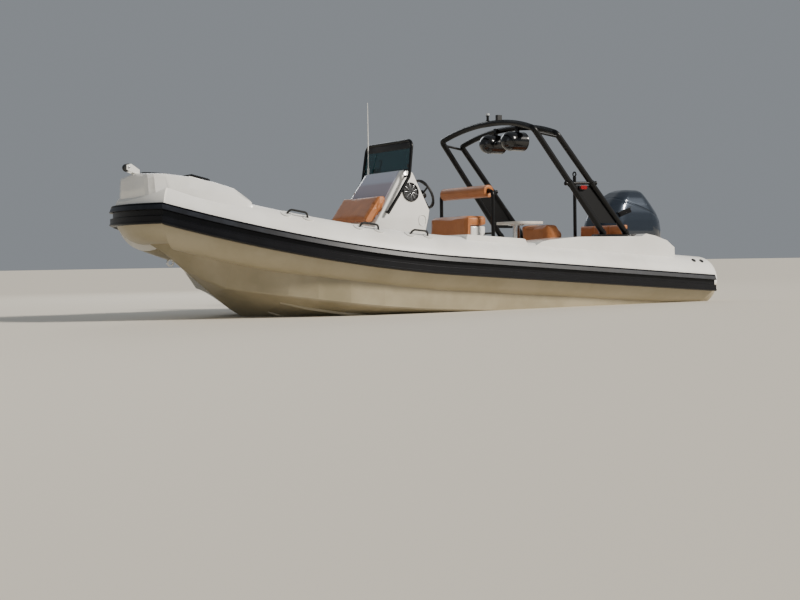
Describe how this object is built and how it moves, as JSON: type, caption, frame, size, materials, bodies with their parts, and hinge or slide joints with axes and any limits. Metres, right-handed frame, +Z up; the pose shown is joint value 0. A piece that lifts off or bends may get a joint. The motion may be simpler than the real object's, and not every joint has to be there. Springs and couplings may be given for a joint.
{
  "type": "rigid inflatable boat",
  "caption": "Rigid inflatable boat with a centre console, tan cushions, a raked black arch and a large outboard engine.",
  "frame": {"origin": "on the centreline at the waterline, amidships", "axes": "+X towards the bow, +Y to port, +Z up, as it floats"},
  "size_m": [6.9234, 2.5, 3.053],
  "materials": {
    "collar_fabric": "matte coated fabric",
    "strake_rubber": "semi-matte moulded rubber",
    "strake_band": "semi-matte moulded rubber",
    "hull_gelcoat": "polished gelcoat",
    "white_gelcoat": "polished gelcoat",
    "black_metal": "satin powder coat",
    "steel": "polished",
    "smoked_glass": "tinted, clear",
    "smoked_panel": "gloss, smoked",
    "tan_leather": "stitched, satin",
    "black_plastic": "fine grain",
    "black_webbing": "woven",
    "speaker_grille": "perforated",
    "engine_paint": "metallic gloss",
    "engine_black": "satin",
    "red_lens": "clear coloured lens",
    "green_lens": "clear coloured lens",
    "white_lens": "clear domed lens",
    "white_plastic": "smooth",
    "table_laminate": "smooth"
  },
  "bodies": {
    "boat": {"tube_port": "collar_fabric", "tube_starboard": "collar_fabric", "tube_bow": "collar_fabric", "strake": "strake_rubber", "strake_inlay": "strake_band", "hull": "hull_gelcoat", "hull_flanks": "hull_gelcoat", "deck_liner": "white_gelcoat", "coamings": "white_gelcoat", "bow_nose": "white_gelcoat", "bow_roller_bracket": "white_plastic", "bow_eye": "steel", "handle_patches": "collar_fabric", "handle_straps": "black_webbing", "tube_valves": "black_plastic", "console": "white_gelcoat", "console_front_panel": "smoked_panel", "windscreen_frame": "black_metal", "windscreen_glass": "smoked_glass", "console_speakers": "speaker_grille", "helm_boss": "black_plastic", "throttle": "black_plastic", "antenna": "white_plastic", "console_seat_cushion": "tan_leather", "console_seat_back": "tan_leather", "helm_seat_base": "white_gelcoat", "helm_seat_cushion": "tan_leather", "helm_back_frame": "black_metal", "helm_bolster": "tan_leather", "table_top": "table_laminate", "table_pedestal": "steel", "lounge_base": "white_gelcoat", "lounge_side_cushion": "tan_leather", "lounge_aft_cushion": "tan_leather", "lounge_aft_back": "tan_leather", "lounge_end_rest": "tan_leather", "arch_forward_hoop": "black_metal", "arch_aft_hoop": "black_metal", "arch_side_plates": "black_metal", "arch_bases": "black_metal", "nav_light_port": "red_lens", "nav_light_starboard": "green_lens", "stern_light": "white_lens", "crown_sensor": "black_plastic", "tower_speakers": "speaker_grille", "tow_pole": "black_metal", "engine_clamp": "engine_black"},
    "bow_locker_lid": {"bow_locker_lid": "white_gelcoat"},
    "bow_roller": {"bow_roller": "black_plastic"},
    "steering_wheel": {"steering_wheel": "black_plastic"},
    "engine_tilting": {"engine_swivel": "engine_black"},
    "engine_steering": {"engine_midsection": "engine_black", "engine_cowl": "engine_paint", "engine_gearcase": "engine_paint"},
    "propeller": {"propeller": "steel"}
  },
  "joints": [
    {"name": "locker_lid_hinge", "type": "hinge", "parent": "boat", "child": "bow_locker_lid", "pos_m": [2.78, 0, 1.33836], "axis": [0, 1, 0], "range_deg": [0, 85]},
    {"name": "roller_turn", "type": "hinge", "parent": "boat", "child": "bow_roller", "pos_m": [3.306, 0, 1.412], "axis": [0, 1, 0], "continuous": true},
    {"name": "wheel_turn", "type": "hinge", "parent": "boat", "child": "steering_wheel", "pos_m": [0.04, 0.1, 1.225], "axis": [0.8988, 0, -0.4384], "range_deg": [-810, 810]},
    {"name": "engine_tilt", "type": "hinge", "parent": "boat", "child": "engine_tilting", "pos_m": [-2.735, 0, 0.47], "axis": [0, 1, 0], "range_deg": [-4, 22]},
    {"name": "engine_steer", "type": "hinge", "parent": "engine_tilting", "child": "engine_steering", "pos_m": [-2.9, 0, 0.2], "axis": [0, 0, 1], "range_deg": [-30, 30]},
    {"name": "propeller_turn", "type": "hinge", "parent": "engine_steering", "child": "propeller", "pos_m": [-3.22, 0, -0.613], "axis": [1, 0, 0], "continuous": true}
  ],
  "couplings": [
    {"joint": "wheel_turn", "follows": "engine_steer", "ratio": 27}
  ]
}
